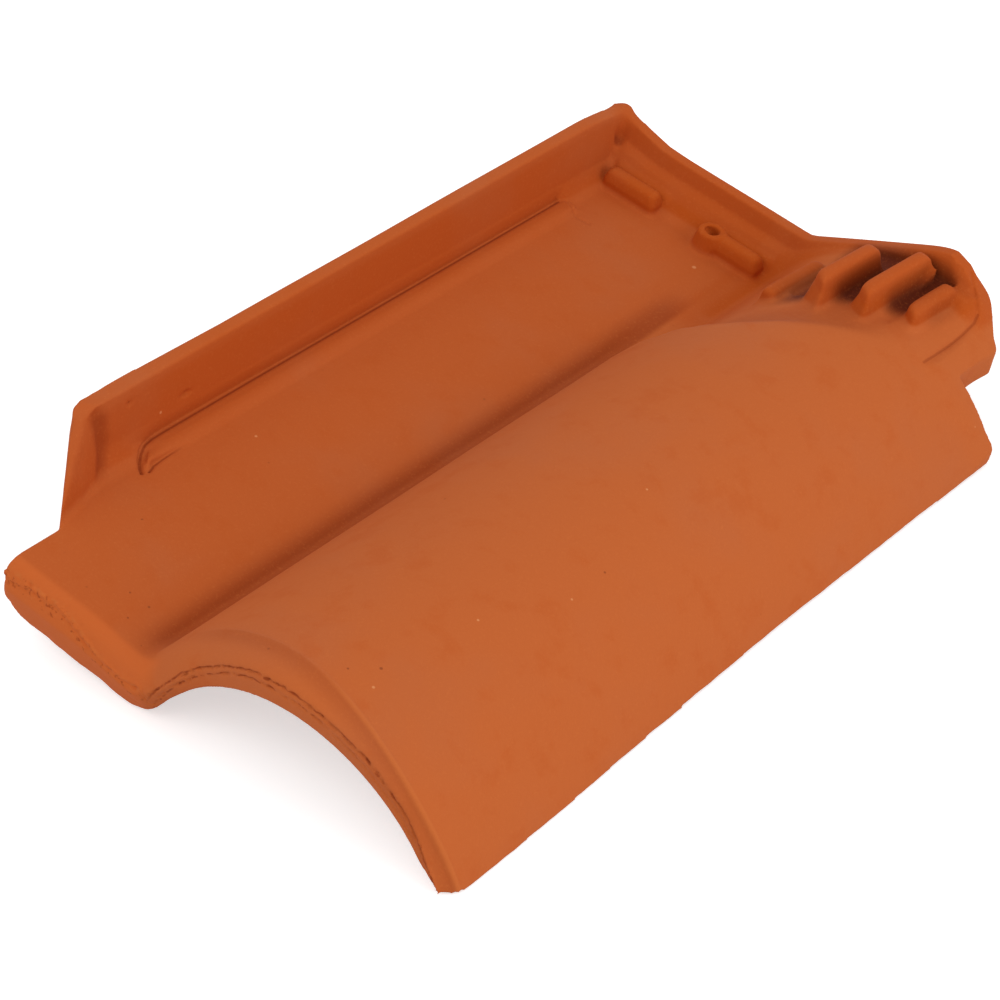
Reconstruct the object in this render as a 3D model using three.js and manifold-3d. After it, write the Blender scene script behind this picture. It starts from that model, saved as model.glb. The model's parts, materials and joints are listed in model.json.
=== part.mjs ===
// Interlocking clay roof tile with a flat pan and a wide cover roll, pressed and fired in one piece.
// Millimetres. In the tile's own frame x runs across from the side wall to the roll's free edge,
// y runs up the roof from the tail to the head, and z = 0 is the top face of the pan.
import * as THREE from "three";
import { mergeVertices } from "three/addons/utils/BufferGeometryUtils.js";
import Module from "manifold-3d";

const wasm = await Module();
wasm.setup();

// ---- overall
const tileLength = 400;
const tileWidth = 244;
const panThickness = 10;
const panMiddle = 55;

// ---- the roll's free edge opens out at the tail and is drawn in at its waist, as fired tiles are
const freeEdge = { tailOut: 3, waistIn: 1.7, waistFrom: 210, waistTo: 240, headIn: 1 };

// ---- side wall along the left edge, and its return that runs down along the slanted tail corner
const sideWall = {
  height: 30, topWidth: 7.5, footWidth: 20, faceShare: 0.32, coveShare: 0.3, edgeRound: 2.5,
};
const sideWallFall = { along: 36, drop: 3 };
const tailCut = { across: 25.4, alongAtPan: 28.9, alongAtWall: 57.2 };
const returnWall = { topWidth: 7, footWidth: 20.5, faceShare: 0.8, coveShare: 0.12, edgeRound: 2 };
const tailCornerRadius = 3;

// ---- head wall: as high as the side wall at its corner, low over the pan, climbing over the roll;
// its steep face stands on a ledge that rounds down to the pan
const headWall = {
  height: 19.3, topWidth: 7, footWidth: 24, faceShare: 0.14, coveShare: 0.62, edgeRound: 2.5, ledge: true,
};
const headCornerRadius = 7;
const headWallDip = { from: -2, to: 38 };
const headCrest = { riseFrom: 113, flatFrom: 181, flatTo: 188, height: 55.4 };
const headShoulder = { height: 45 };

// ---- cut at the head corner of the roll, where the tile above and beside it passes
const headNotch = { across: 27.2, along: 43 };
const headChamfer = { across: 17, along: 15 };
const lapBand = { across: 11, rise: 2.2, along: 52, ramp: 3 };

// ---- cover roll: outer skin, inner skin, and the lower skin of the head lap
const roll = { radius: 86.2, centreX: 170.2, centreZ: -44.4 };
const rollShell = 11.4;
const lapRoll = { radius: 79.6, centreX: 179.1, centreZ: -39.8 };
const lapStep = { valleyFromHead: 113, crestFromHead: 57, length: 22, pastCrest: 1.2 };
const valleyFillet = 6;

// ---- rain gutter in the pan, along the foot of the roll
const gutter = { from: 66, to: 94, depth: 2.6 };

// ---- nose: the thick lip at the tail, rounded above a parting line and undercut below it
const nose = {
  depth: 28, undercut: 5.2, seat: 6, draft: 8, cornerBlend: 17, edgeBlend: 1, partingFace: 1.2, edgeFace: 0.3,
};
const noseFoot = { riseFrom: 86, run: 14, rise: 3.6, most: 9 };
const edgeNose = { from: 215, undercut: 2.5, setBack: 1 };
const panNose = { setBack: 0, reach: 7, drop: 11, upTo: 96 };
const rollNose = { setBack: 3.5, reach: 9.5, drop: 4.8, from: 125, valleyDrop: 12, evenFrom: 150 };
const noseArch = { radius: 72.4, centreX: 173.2, centreZ: -46 };

// ---- long rib beside the side wall
const longRib = {
  x: 16.9, footWidth: 12, topWidth: 9.6, height: 2.6, fromTail: 75, fromHead: 48.8,
  frontSlant: 13, frontSlope: 3, backSlope: 2, edgeRound: 1, backRound: 1.5,
};

// ---- two cross bars in front of the head wall, the second with a nail boss at its end
const crossBar = {
  footWidth: 11, topWidth: 5.6, height: 9, frontSlope: 2.5, backSlope: 2.5, edgeRound: 2, backRound: 2,
};
const crossBarFromHead = 28.9;
const crossBarSpans = [[15.4, 46.8], [75.6, 104.5]];
const nailBoss = { footRadius: 8.5, topRadius: 6.4, height: 9.5, holeRadius: 3.4, holeDepth: 8 };

// ---- weather fins on the head lap: place of the front foot, length, and top under the head crest
const fin = { footWidth: 14, topWidth: 7, frontSlope: 3, backSlope: 2, edgeRound: 2.2, backRound: 7 };
const finTurn = THREE.MathUtils.degToRad(4);
const fins = [
  { x: 130, fromHead: 66, length: 45, underCrest: 26 },
  { x: 150.3, fromHead: 61.2, length: 43, underCrest: 5.4 },
  { x: 169.2, fromHead: 53, length: 45, underCrest: 2.6 },
  { x: 187.3, fromHead: 41.5, length: 30.5, underCrest: 7.4 },
];

// ---- batten nib under the head end of the pan
const battenNib = { from: 30, to: 98, fromHead: 28, thickness: 15, draft: 2 };

// ---- solids and booleans
function toManifold(geometry) {
  const bare = geometry.clone();
  bare.deleteAttribute("normal");
  bare.deleteAttribute("uv");
  const merged = mergeVertices(bare, 1e-5);
  const mesh = new wasm.Mesh({
    numProp: 3,
    vertProperties: new Float32Array(merged.attributes.position.array),
    triVerts: new Uint32Array(merged.index.array),
  });
  return new wasm.Manifold(mesh);
}

function toGeometry(solid) {
  const mesh = solid.getMesh();
  const geometry = new THREE.BufferGeometry();
  geometry.setAttribute("position", new THREE.BufferAttribute(mesh.vertProperties, 3));
  geometry.setIndex(new THREE.BufferAttribute(mesh.triVerts, 1));
  geometry.computeVertexNormals();
  return geometry;
}

const { clamp, lerp, smoothstep } = THREE.MathUtils;

// Height of a round skin at a place across the tile.
function archHeight(x, skin, radius) {
  const inside = radius ** 2 - (x - skin.centreX) ** 2;
  return inside > 0 ? skin.centreZ + Math.sqrt(inside) : -Infinity;
}

// Larger of two heights, with the corner between them rounded.
function blendedMax(a, b, blend) {
  const share = clamp(0.5 + (a - b) / (2 * blend), 0, 1);
  if (share === 0) return b;
  return lerp(b, a, share) + blend * share * (1 - share);
}

// Pan or roll, whichever is higher, filleted in the valley; the free side of the roll has no pan.
function skinHeight(x, skin, radius, pan) {
  const arch = archHeight(x, skin, radius);
  return x > skin.centreX ? Math.max(arch, 0) : blendedMax(arch, pan, valleyFillet);
}

// Share of the way from the full roll to the lowered skin of the head lap.
const rollFoot = roll.centreX - Math.sqrt(roll.radius ** 2 - roll.centreZ ** 2);
function lapShare(x, y) {
  const across = clamp((x - rollFoot) / (lapRoll.centreX - rollFoot), 0, lapStep.pastCrest);
  const middle = tileLength - lerp(lapStep.valleyFromHead, lapStep.crestFromHead, across);
  return smoothstep(y, middle - lapStep.length / 2, middle + lapStep.length / 2);
}

// Skin of the head lap: the lowered roll, which never stands proud of the full one.
function lapSkin(x) {
  return Math.min(skinHeight(x, roll, roll.radius, 0), skinHeight(x, lapRoll, lapRoll.radius, 0));
}

// Section of a wall: 1 over its rounded top, then a steep face and a cove down to 0 at its foot.
function wallProfile(distance, wall) {
  const fromEdge = Math.max(0, distance);
  if (fromEdge < wall.edgeRound) {
    const back = 1 - fromEdge / wall.edgeRound;
    return 1 - (wall.edgeRound / sideWall.height) * (1 - Math.sqrt(1 - back ** 2));
  }
  if (fromEdge <= wall.topWidth) return 1;
  const coveStart = lerp(wall.topWidth, wall.footWidth, wall.faceShare);
  if (fromEdge < coveStart) {
    return lerp(1, wall.coveShare, (fromEdge - wall.topWidth) / (coveStart - wall.topWidth));
  }
  if (fromEdge >= wall.footWidth) return 0;
  const toFoot = (fromEdge - coveStart) / (wall.footWidth - coveStart);
  return wall.coveShare * (wall.ledge ? 1 - smoothstep(toFoot, 0, 1) : (1 - toFoot) ** 2);
}

// Height of the side wall's top edge, which comes down a little where it meets the head wall.
function sideWallTop(y) {
  return sideWall.height - sideWallFall.drop * smoothstep(y, tileLength - sideWallFall.along, tileLength);
}

// Side wall and its return: both come down along the slanted corner, the return narrowing with it.
function edgeWallHeight(x, y) {
  const slantY = tailCut.alongAtPan - tailCut.alongAtWall;
  const slantLength = Math.hypot(tailCut.across, slantY);
  const along = (x * tailCut.across + (y - tailCut.alongAtWall) * slantY) / slantLength;
  const inward = (-x * slantY + (y - tailCut.alongAtWall) * tailCut.across) / slantLength;
  const share = clamp(1 - along / slantLength, 0, 1);
  if (share === 0) return 0;
  const side = sideWallTop(y) * Math.min(share, wallProfile(x, sideWall));
  return Math.max(side, sideWall.height * share * wallProfile(inward / share, returnWall));
}

// Height of the head wall's top edge at a place across the tile.
const chamferStart = tileWidth - headNotch.across - headChamfer.across;
function headWallTop(x) {
  if (x <= headCrest.riseFrom) {
    return lerp(sideWallTop(tileLength), headWall.height, smoothstep(x, headWallDip.from, headWallDip.to));
  }
  if (x <= headCrest.flatFrom) {
    const share = (x - headCrest.riseFrom) / (headCrest.flatFrom - headCrest.riseFrom);
    return lerp(headWall.height, headCrest.height, share);
  }
  if (x <= headCrest.flatTo) return headCrest.height;
  const share = (x - headCrest.flatTo) / (chamferStart - headCrest.flatTo);
  return lerp(headCrest.height, headShoulder.height, share);
}

// Distance from the head edge or from the chamfer, whichever is nearer.
function fromHeadEdge(x, y) {
  const slope = Math.hypot(headChamfer.across, headChamfer.along);
  const overX = (x - chamferStart) * headChamfer.along;
  const overY = (tileLength - y) * headChamfer.across;
  return Math.min(tileLength - y, (overY - overX) / slope);
}

// Raised band beside the notch, inside the lap's outer edge.
function bandRise(x, y) {
  const acrossIn = tileWidth - headNotch.across - x;
  const alongIn = fromHeadEdge(x, y);
  const sideways = Math.min(acrossIn, alongIn);
  const inside = clamp((lapBand.across - sideways) / lapBand.ramp, 0, 1);
  const ends = clamp((y - (tileLength - lapBand.along)) / lapBand.ramp, 0, 1);
  return x > headCrest.flatTo ? lapBand.rise * inside * ends : 0;
}

// Top skin of the tile; the drops take the roll's radius and the pan down where the nose is rounded.
function topSkin(x, y, rollDrop = 0, panDrop = 0) {
  const pan = -gutter.depth * smoothstep(x, gutter.from, gutter.to) - panDrop;
  const body = skinHeight(x, roll, roll.radius - rollDrop, pan);
  const floor = lerp(body, lapSkin(x), lapShare(x, y)) + bandRise(x, y);
  const rim = Math.max(0, headWallTop(x) - floor) * wallProfile(fromHeadEdge(x, y), headWall);
  const wall = edgeWallHeight(x, y);
  return wall > 0 ? Math.max(floor + rim, wall) : floor + rim;
}

// How far a rounded nose has fallen at a distance behind its parting line.
function noseFall(y, shape, drop) {
  const back = 1 - clamp((y - shape.setBack) / shape.reach, 0, 1);
  return drop * (1 - Math.sqrt(1 - back ** 2));
}

// Share of the roll's own nose at a place across, from the pan's nose at 0 to the roll's at 1.
function rollNoseShare(x) {
  return smoothstep(x, panNose.upTo, rollNose.from);
}

// Share of the free edge's nose, whose front face stands nearly upright on the foot.
function edgeNoseShare(x) {
  return smoothstep(x, edgeNose.from, tileWidth);
}

function partingLine(x) {
  return lerp(lerp(panNose.setBack, rollNose.setBack, rollNoseShare(x)), edgeNose.setBack, edgeNoseShare(x));
}

function undercutEnd(x) {
  return lerp(nose.undercut, edgeNose.undercut, edgeNoseShare(x));
}

// Top skin with its nose: the roll is rounded deepest beside the valley.
function nosedTop(x, y) {
  const behind = Math.max(y, partingLine(x));
  const rollDrop = lerp(rollNose.valleyDrop, rollNose.drop, smoothstep(x, panNose.upTo, rollNose.evenFrom));
  return topSkin(x, y, noseFall(behind, rollNose, rollDrop), noseFall(behind, panNose, panNose.drop));
}

// Underside of the tile: the pan's back, the hollow of the roll and the foot of the nose.
function underSkin(x, y) {
  const overRoll = x > roll.centreX;
  const panBack = overRoll ? 0 : -panThickness;
  const body = Math.max(archHeight(x, roll, roll.radius - rollShell), panBack);
  const lap = Math.max(archHeight(x, lapRoll, lapRoll.radius - rollShell), panBack);
  const skin = lerp(body, lap, lapShare(x, y));
  const footRise = noseFoot.rise * (Math.max(0, x - noseFoot.riseFrom) / noseFoot.run) ** 2;
  const foot = overRoll ? 0 : Math.min(noseFoot.most, footRise) - nose.depth;
  const corner = overRoll ? nose.edgeBlend : nose.cornerBlend;
  const lip = blendedMax(archHeight(x, noseArch, noseArch.radius), foot, corner);
  const seatEnd = nose.undercut + nose.seat;
  const lipShare = 1 - clamp((y - seatEnd) / nose.draft, 0, 1);
  const under = lerp(skin, Math.min(skin, lip), lipShare);
  const undercut = undercutEnd(x);
  if (y >= undercut) return under;
  const parting = partingLine(x);
  const start = nosedTop(x, parting) - nose.partingFace;
  return Math.max(lerp(start, under, (y - parting) / (undercut - parting)), under);
}

// Stations of the grid that the two skins are lofted on, closer together where they bend.
function stations(stops) {
  const list = [];
  for (let i = 0; i < stops.length - 1; i += 1) {
    const [start, steps] = stops[i];
    const end = stops[i + 1][0];
    for (let k = 0; k < steps; k += 1) list.push(lerp(start, end, k / steps));
  }
  list.push(stops[stops.length - 1][0]);
  return list;
}

// Left edge of the plan, which the tail cut carries inward.
function leftEdge(y) {
  const share = (tailCut.alongAtWall - y) / (tailCut.alongAtWall - tailCut.alongAtPan);
  return tailCut.across * clamp(share, 0, 1);
}

// How far the free edge stands out from the nominal width.
function freeEdgeOut(y) {
  const notchY = tileLength - headNotch.along;
  const toWaist = smoothstep(y, 0, freeEdge.waistFrom);
  const toNotch = smoothstep(y, freeEdge.waistTo, notchY);
  return lerp(lerp(freeEdge.tailOut, -freeEdge.waistIn, toWaist), -freeEdge.headIn, toNotch);
}

// Each station of the grid gives a place on the sections and the place where the clay is: columns
// close up against the slanted corner and follow the free edge, rows follow the parting line.
function gridPoint(station, row) {
  const seatEnd = nose.undercut + nose.seat;
  const frontShare = clamp((seatEnd - row) / nose.seat, 0, 1);
  const undercut = undercutEnd(station);
  const seated = row + (undercut - nose.undercut) * frontShare;
  const rowY = row < nose.undercut ? lerp(partingLine(station), undercut, row / nose.undercut) : seated;
  if (station < panMiddle) {
    const x = lerp(leftEdge(rowY), panMiddle, station / panMiddle);
    return { section: x, x, y: rowY };
  }
  if (station < roll.centreX) return { section: station, x: station, y: rowY };
  const radius = roll.radius - noseFall(rowY, rollNose, rollNose.drop);
  const edge = Math.sqrt(radius ** 2 - roll.centreZ ** 2);
  const fullEdge = tileWidth - roll.centreX;
  const across = (station - roll.centreX) / fullEdge;
  const section = roll.centreX + across * Math.min(edge - nose.edgeFace, fullEdge);
  return { section, x: section + across * freeEdgeOut(rowY), y: rowY };
}

function loftSkins(xs, ys, topAt, underAt) {
  const positions = [];
  const index = [];
  for (const at of [topAt, underAt]) {
    for (const row of ys) {
      for (const station of xs) {
        const point = gridPoint(station, row);
        positions.push(point.x, point.y, at(point.section, point.y));
      }
    }
  }
  const layer = xs.length * ys.length;
  const id = (i, j, under) => j * xs.length + i + (under ? layer : 0);
  const quad = (a, b, c, d) => index.push(a, b, c, a, c, d);
  for (let j = 0; j < ys.length - 1; j += 1) {
    for (let i = 0; i < xs.length - 1; i += 1) {
      quad(id(i, j), id(i + 1, j), id(i + 1, j + 1), id(i, j + 1));
      quad(id(i, j, true), id(i, j + 1, true), id(i + 1, j + 1, true), id(i + 1, j, true));
    }
  }
  const lastX = xs.length - 1;
  const lastY = ys.length - 1;
  for (let i = 0; i < lastX; i += 1) {
    quad(id(i, 0, true), id(i + 1, 0, true), id(i + 1, 0), id(i, 0));
    quad(id(i + 1, lastY, true), id(i, lastY, true), id(i, lastY), id(i + 1, lastY));
  }
  for (let j = 0; j < lastY; j += 1) {
    quad(id(0, j + 1, true), id(0, j, true), id(0, j), id(0, j + 1));
    quad(id(lastX, j, true), id(lastX, j + 1, true), id(lastX, j + 1), id(lastX, j));
  }
  const geometry = new THREE.BufferGeometry();
  geometry.setAttribute("position", new THREE.Float32BufferAttribute(positions, 3));
  geometry.setIndex(index);
  return geometry;
}

// Plan outline of the cut corners and the notch; the straight edges are the grid's own, and there it
// stands clear of them.
const cutClear = 20;
function planOutline() {
  const shape = new THREE.Shape();
  const right = tileWidth + cutClear;
  const lapEdge = tileWidth - headNotch.across;
  const notchY = tileLength - headNotch.along;
  const tail = tailCornerRadius;
  const head = headCornerRadius;
  shape.moveTo(tailCut.across + tail, -cutClear);
  shape.lineTo(right, -cutClear);
  shape.lineTo(right, notchY);
  shape.lineTo(lapEdge, notchY);
  shape.lineTo(lapEdge, tileLength - headChamfer.along);
  shape.lineTo(chamferStart, tileLength);
  shape.lineTo(chamferStart, tileLength + cutClear);
  shape.lineTo(head, tileLength + cutClear);
  shape.lineTo(head, tileLength);
  shape.absarc(head, tileLength - head, head, Math.PI / 2, Math.PI);
  shape.lineTo(-cutClear, tileLength - head);
  shape.lineTo(-cutClear, tail);
  shape.lineTo(tailCut.across, tail);
  shape.absarc(tailCut.across + tail, tail, tail, Math.PI, 1.5 * Math.PI);
  return shape;
}

function bodySolid() {
  const valley = roll.centreX - roll.radius;
  const notchX = tileWidth - headNotch.across;
  const xs = stations([
    [0, 2], [sideWall.edgeRound, 2], [sideWall.topWidth, 6], [sideWall.footWidth, 3],
    [panMiddle, 2], [valley, 3], [panNose.upTo, 9], [rollNose.from, 7], [roll.centreX, 3],
    [headCrest.flatFrom, 5], [chamferStart, 4], [notchX - lapBand.across / 2, 2], [notchX, 8],
    [tileWidth, 1],
  ]);
  const headFoot = tileLength - headWall.footWidth;
  const headCove = tileLength - lerp(headWall.topWidth, headWall.footWidth, headWall.faceShare);
  const seatEnd = nose.undercut + nose.seat;
  const noseEnd = rollNose.setBack + rollNose.reach;
  const returnEnd = tailCut.alongAtWall + returnWall.footWidth / 2;
  const lapStart = tileLength - lapStep.valleyFromHead - lapStep.length / 2;
  const ys = stations([
    [0, 3], [nose.undercut, 3], [seatEnd, 1], [noseEnd, 2], [seatEnd + nose.draft, 2],
    [tailCut.alongAtPan, 9], [tailCut.alongAtWall, 4], [returnEnd, 3],
    [lapStart, 9], [tileLength - lapBand.along + lapBand.ramp, 4],
    [headFoot, 4], [headCove, 3],
    [tileLength - headWall.topWidth, 1], [tileLength - headWall.edgeRound, 2], [tileLength, 1],
  ]);
  const shell = toManifold(loftSkins(xs, ys, nosedTop, underSkin));
  const above = headCrest.height + cutClear;
  const below = nose.depth + cutClear;
  const cut = { depth: above + below, bevelEnabled: false, curveSegments: 5 };
  const prism = new THREE.ExtrudeGeometry(planOutline(), cut);
  prism.translate(0, 0, -below);
  return shell.intersect(toManifold(prism));
}

// Rounded bar along y, drafted on all sides: a loft of rounded rectangles from its root to its top.
const sideDraft = 0.12;
function pressedBar(length, bar, top, rootAt) {
  const cornerSteps = 3;
  const depths = [1, 0.55, 0.25, 0.06, 0].map((share) => share * bar.backRound);
  const inset = (depth, round) => (depth < round ? round - Math.sqrt(round ** 2 - (round - depth) ** 2) : 0);
  const ring = (half, y0, y1, corner, heightAt) => {
    const points = [];
    for (const [cx, cy, turn] of [[half, y0, -1], [half, y1, 0], [-half, y1, 1], [-half, y0, 2]]) {
      for (let k = 0; k <= cornerSteps; k += 1) {
        const angle = (turn + k / cornerSteps) * Math.PI / 2;
        const x = cx - Math.sign(cx) * corner + corner * Math.cos(angle);
        const slant = cy === y0 ? (bar.frontSlant || 0) * (half - x) / (2 * half) : 0;
        const y = cy + slant + (cy === y0 ? corner : -corner) + corner * Math.sin(angle);
        points.push([x, y, heightAt(x, y)]);
      }
    }
    return points;
  };
  const rings = [ring(bar.footWidth / 2, 0, length, bar.footWidth / 4, rootAt)];
  for (const depth of depths) {
    const side = inset(depth, bar.edgeRound);
    const half = bar.topWidth / 2 - side + depth * sideDraft;
    const back = length - bar.backSlope - inset(depth, bar.backRound);
    rings.push(ring(half, bar.frontSlope + side, back, bar.topWidth / 4, () => top - depth));
  }
  const count = rings[0].length;
  const positions = rings.flat(2);
  const index = [];
  for (let r = 0; r < rings.length - 1; r += 1) {
    for (let i = 0; i < count; i += 1) {
      const next = (i + 1) % count;
      const a = r * count;
      index.push(a + i, a + next, a + count + next, a + i, a + count + next, a + count + i);
    }
  }
  const last = (rings.length - 1) * count;
  for (let i = 1; i < count - 1; i += 1) index.push(0, i + 1, i, last, last + i, last + i + 1);
  const geometry = new THREE.BufferGeometry();
  geometry.setAttribute("position", new THREE.Float32BufferAttribute(positions, 3));
  geometry.setIndex(index);
  return geometry;
}

let body = bodySolid();

function addBar(bar, length, top, rootAt, place) {
  const geometry = pressedBar(length, bar, top, rootAt);
  place(geometry);
  body = body.add(toManifold(geometry));
}

// long rib
const rootDepth = 1;
const ribLength = tileLength - longRib.fromHead - longRib.fromTail;
addBar(longRib, ribLength, longRib.height, () => -rootDepth, (rib) => {
  rib.translate(longRib.x, longRib.fromTail, 0);
});

// cross bars
const crossBarY = tileLength - crossBarFromHead + crossBar.footWidth / 2;
for (const [start, end] of crossBarSpans) {
  addBar(crossBar, end - start, crossBar.height, () => -rootDepth, (bar) => {
    bar.rotateZ(-Math.PI / 2);
    bar.translate(start, crossBarY, 0);
  });
}

// nail boss at the second bar's end, and its blind hole
const bossX = crossBarSpans[1][0];
const bossSides = 20;
const bossHeight = nailBoss.height + rootDepth;
const boss = new THREE.CylinderGeometry(nailBoss.topRadius, nailBoss.footRadius, bossHeight, bossSides);
boss.rotateX(Math.PI / 2);
boss.translate(bossX, crossBarY, bossHeight / 2 - rootDepth);
body = body.add(toManifold(boss));
const holeLength = nailBoss.holeDepth * 2;
const hole = new THREE.CylinderGeometry(nailBoss.holeRadius, nailBoss.holeRadius, holeLength, bossSides);
hole.rotateX(Math.PI / 2);
hole.translate(bossX, crossBarY, nailBoss.height);
body = body.subtract(toManifold(hole));

// weather fins, rooted in the lowered skin of the lap
for (const one of fins) {
  const y = tileLength - one.fromHead;
  const rootAt = (dx, dy) => {
    const x = one.x + dx * Math.cos(finTurn) + dy * Math.sin(finTurn);
    return lapSkin(x) - 2 * rootDepth;
  };
  addBar(fin, one.length, headCrest.height - one.underCrest, rootAt, (bar) => {
    bar.rotateZ(-finTurn);
    bar.translate(one.x, y, 0);
  });
}

// batten nib: an upright hook face towards the tail, the other sides drafted
const nibY = tileLength - battenNib.fromHead;
const nibShape = new THREE.Shape();
nibShape.moveTo(nibY, -nose.depth);
nibShape.lineTo(nibY + battenNib.thickness - battenNib.draft, -nose.depth);
nibShape.lineTo(nibY + battenNib.thickness, -panThickness / 2);
nibShape.lineTo(nibY, -panThickness / 2);
const nibWidth = battenNib.to - battenNib.from;
const nib = new THREE.ExtrudeGeometry(nibShape, { depth: nibWidth, bevelEnabled: false });
nib.applyMatrix4(new THREE.Matrix4().set(0, 0, 1, battenNib.from, 1, 0, 0, 0, 0, 1, 0, 0, 0, 0, 0, 1));
body = body.add(toManifold(nib));

const clay = new THREE.MeshStandardMaterial({ color: 0xb85f30, roughness: 0.85, metalness: 0 });
const roofTile = new THREE.Mesh(toGeometry(body), clay);
roofTile.name = "roof_tile";

// Unheld, the tile leans over the nose and the nib until the roll's free edge is down.
const restTilt = Math.atan2(nose.depth, tileWidth + freeEdge.tailOut - battenNib.to);
roofTile.rotation.y = restTilt;
const model = new THREE.Group();
model.add(roofTile);
const box = new THREE.Box3().setFromObject(model, true);
const middle = box.getCenter(new THREE.Vector3());
roofTile.position.set(-middle.x, -middle.y, -box.min.z);

export default model;
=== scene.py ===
import json
import math

import bmesh
import bpy
import numpy as np
from mathutils import Matrix, Vector, kdtree, noise


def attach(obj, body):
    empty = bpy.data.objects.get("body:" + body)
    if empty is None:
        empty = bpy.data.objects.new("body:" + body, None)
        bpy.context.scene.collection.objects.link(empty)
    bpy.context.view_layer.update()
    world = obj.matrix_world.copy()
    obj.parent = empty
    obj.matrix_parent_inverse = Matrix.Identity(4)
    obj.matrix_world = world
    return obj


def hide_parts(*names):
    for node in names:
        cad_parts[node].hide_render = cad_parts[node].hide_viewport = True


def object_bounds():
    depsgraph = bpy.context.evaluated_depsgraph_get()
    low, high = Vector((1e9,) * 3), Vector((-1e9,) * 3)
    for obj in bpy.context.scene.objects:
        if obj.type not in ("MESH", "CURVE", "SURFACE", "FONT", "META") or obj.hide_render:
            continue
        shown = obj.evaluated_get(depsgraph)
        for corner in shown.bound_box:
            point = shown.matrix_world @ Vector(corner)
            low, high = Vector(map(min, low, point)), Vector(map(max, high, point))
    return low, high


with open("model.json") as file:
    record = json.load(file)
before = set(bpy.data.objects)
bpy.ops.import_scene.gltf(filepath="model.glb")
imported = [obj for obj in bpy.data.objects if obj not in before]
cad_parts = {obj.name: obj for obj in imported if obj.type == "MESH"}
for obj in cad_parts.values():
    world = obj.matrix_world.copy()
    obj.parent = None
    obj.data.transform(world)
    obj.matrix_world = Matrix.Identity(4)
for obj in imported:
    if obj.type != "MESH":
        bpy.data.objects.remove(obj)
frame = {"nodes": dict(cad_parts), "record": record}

# A pressed and fired clay roof tile: its softened edges, burrs and chips, its clay, light and camera.
# Sizes are in metres; MM writes them in millimetres. Places on the tile are in the tile's own
# directions: x across from the side wall to the roll's free edge, y along from the tail to the head,
# and z up from the pan.
MM = 0.001
CAD_BOX = [list(corner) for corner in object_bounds()]

# ---- the tile's own directions, from the seat on the pan that the next tile's nose lies on
SEAT = next(mount for mount in frame["record"]["mounts"] if mount["name"] == "head_lap_seat")
SEAT_ACROSS = 60 * MM
SEAT_ALONG = 355 * MM
UP = Vector(SEAT["axis"])
ALONG = Vector((0, 1, 0))
ACROSS = ALONG.cross(UP)
TAIL_CORNER = Vector(SEAT["pos_m"]) - ACROSS * SEAT_ACROSS - ALONG * SEAT_ALONG
TURN = Matrix((ACROSS, ALONG, UP)).transposed()
ON_TILE = Matrix.Translation(TAIL_CORNER) @ TURN.to_4x4() @ Matrix.Scale(MM, 4)

# ---- the fired skin
SKIN_VOXEL = 0.72 * MM
SKIN_TRIANGLES = 190000
SOFTENING = 7
PRESSED_EDGE = math.radians(14)
EDGE_KEEPS = 3 * MM
EDGE_LETS_GO = 9 * MM
BROAD_SMOOTHING = 130
MERGE = 0.01 * MM
EDGE_STEP = 2 * MM
WEIGHT_STEPS = 25
INSIDE_BOX = 0.001 * MM

# ---- forms of the mould, in millimetres of the tile
ROLL_X = 170.2
ROLL_Z = -44.4
LAP_X = 179.1
LAP_Z = -39.8
LAP_RADIUS = 79.6
RECESS_RADIUS = 78.6
VALLEY_X = 92.5
# the slanting step down to the lap: where it starts across and along, and its run along to the crown
LAP_STEP_FROM = 98
LAP_STEP_AT = 287
LAP_STEP_RUN = 56
BLOCK_HEIGHT = 60
BLOCK_MIDDLE = 50
DRUM_LENGTH = 90
DRUM_MIDDLE = 370
DRUM_SIDES = 180
# recesses round the fins: low corner across and along, high corner, slant, and how deep they reach
RECESSES = (
    ((137, 346), (144.8, 384), 0.06, RECESS_RADIUS - 1),
    ((159.2, 352), (164.6, 386), 0.07, RECESS_RADIUS),
    ((178.4, 356), (183.2, 391.8), 0.07, RECESS_RADIUS),
    ((147, 381), (168, 391), 0, LAP_RADIUS - 0.4),
    ((164, 388.8), (184, 391.8), 0, LAP_RADIUS),
    ((182.5, 384.5), (188.5, 390.5), 0, LAP_RADIUS - 0.2),
)
# the nose: its parting line round the arch, the second tear below it, and the rim behind it
PARTING_AT_VALLEY = 74.2
PARTING_RISE = 7.2
SECOND_TEAR = 2.9
RIM_AT_VALLEY = 17.5
RIM_DRAWS_IN = 9.8
TORN_LINE = ((29, -6), (42, -3.5), (52, -3), (66, -5.2), (78, -9.8), (87, -11.2), (100, -8.5))
RIB_GROOVE = (
    (14.1, 344), (13.9, 250), (13.4, 147), (13.3, 96), (13.5, 90),
    (14.3, 85.5), (15.8, 82), (18, 79), (20.5, 76.8), (23, 75.2),
)
RIB_HEAD_GROOVE = ((14.1, 344), (15.5, 348), (20, 347), (25, 345.5), (31, 346))
RIB_TAIL_GROOVE = ((24.3, 78), (22.9, 82), (22.7, 91), (22.9, 99))
NOTCH_GROOVE = ((190.9, 396.9), (203.7, 385.6), (204.9, 382), (205, 374), (204.4, 361), (204.1, 346))
RETURN_FOLD = ((17.5, 60.8, 3), (12.9, 63.4, 8.6), (9.6, 64.4, 19), (8.4, 63, 25))
FOLD_FOOT = 59
FOLD_LEAN = 0.45
FOLD_TOP = 64.3
BAR_Y = 376.6
BOSS_X = 75.6
BOSS_TOP = 9.5
BOSS_HOLE = 4.4
SHOULDER = (215.5, 384)
SHOULDER_OUT = (0.77, 0.64)
CORNER_PIT = (10.6, 388.8, 15.5)
CORNER_SHADE = (10.6, 388, 15)
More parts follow.
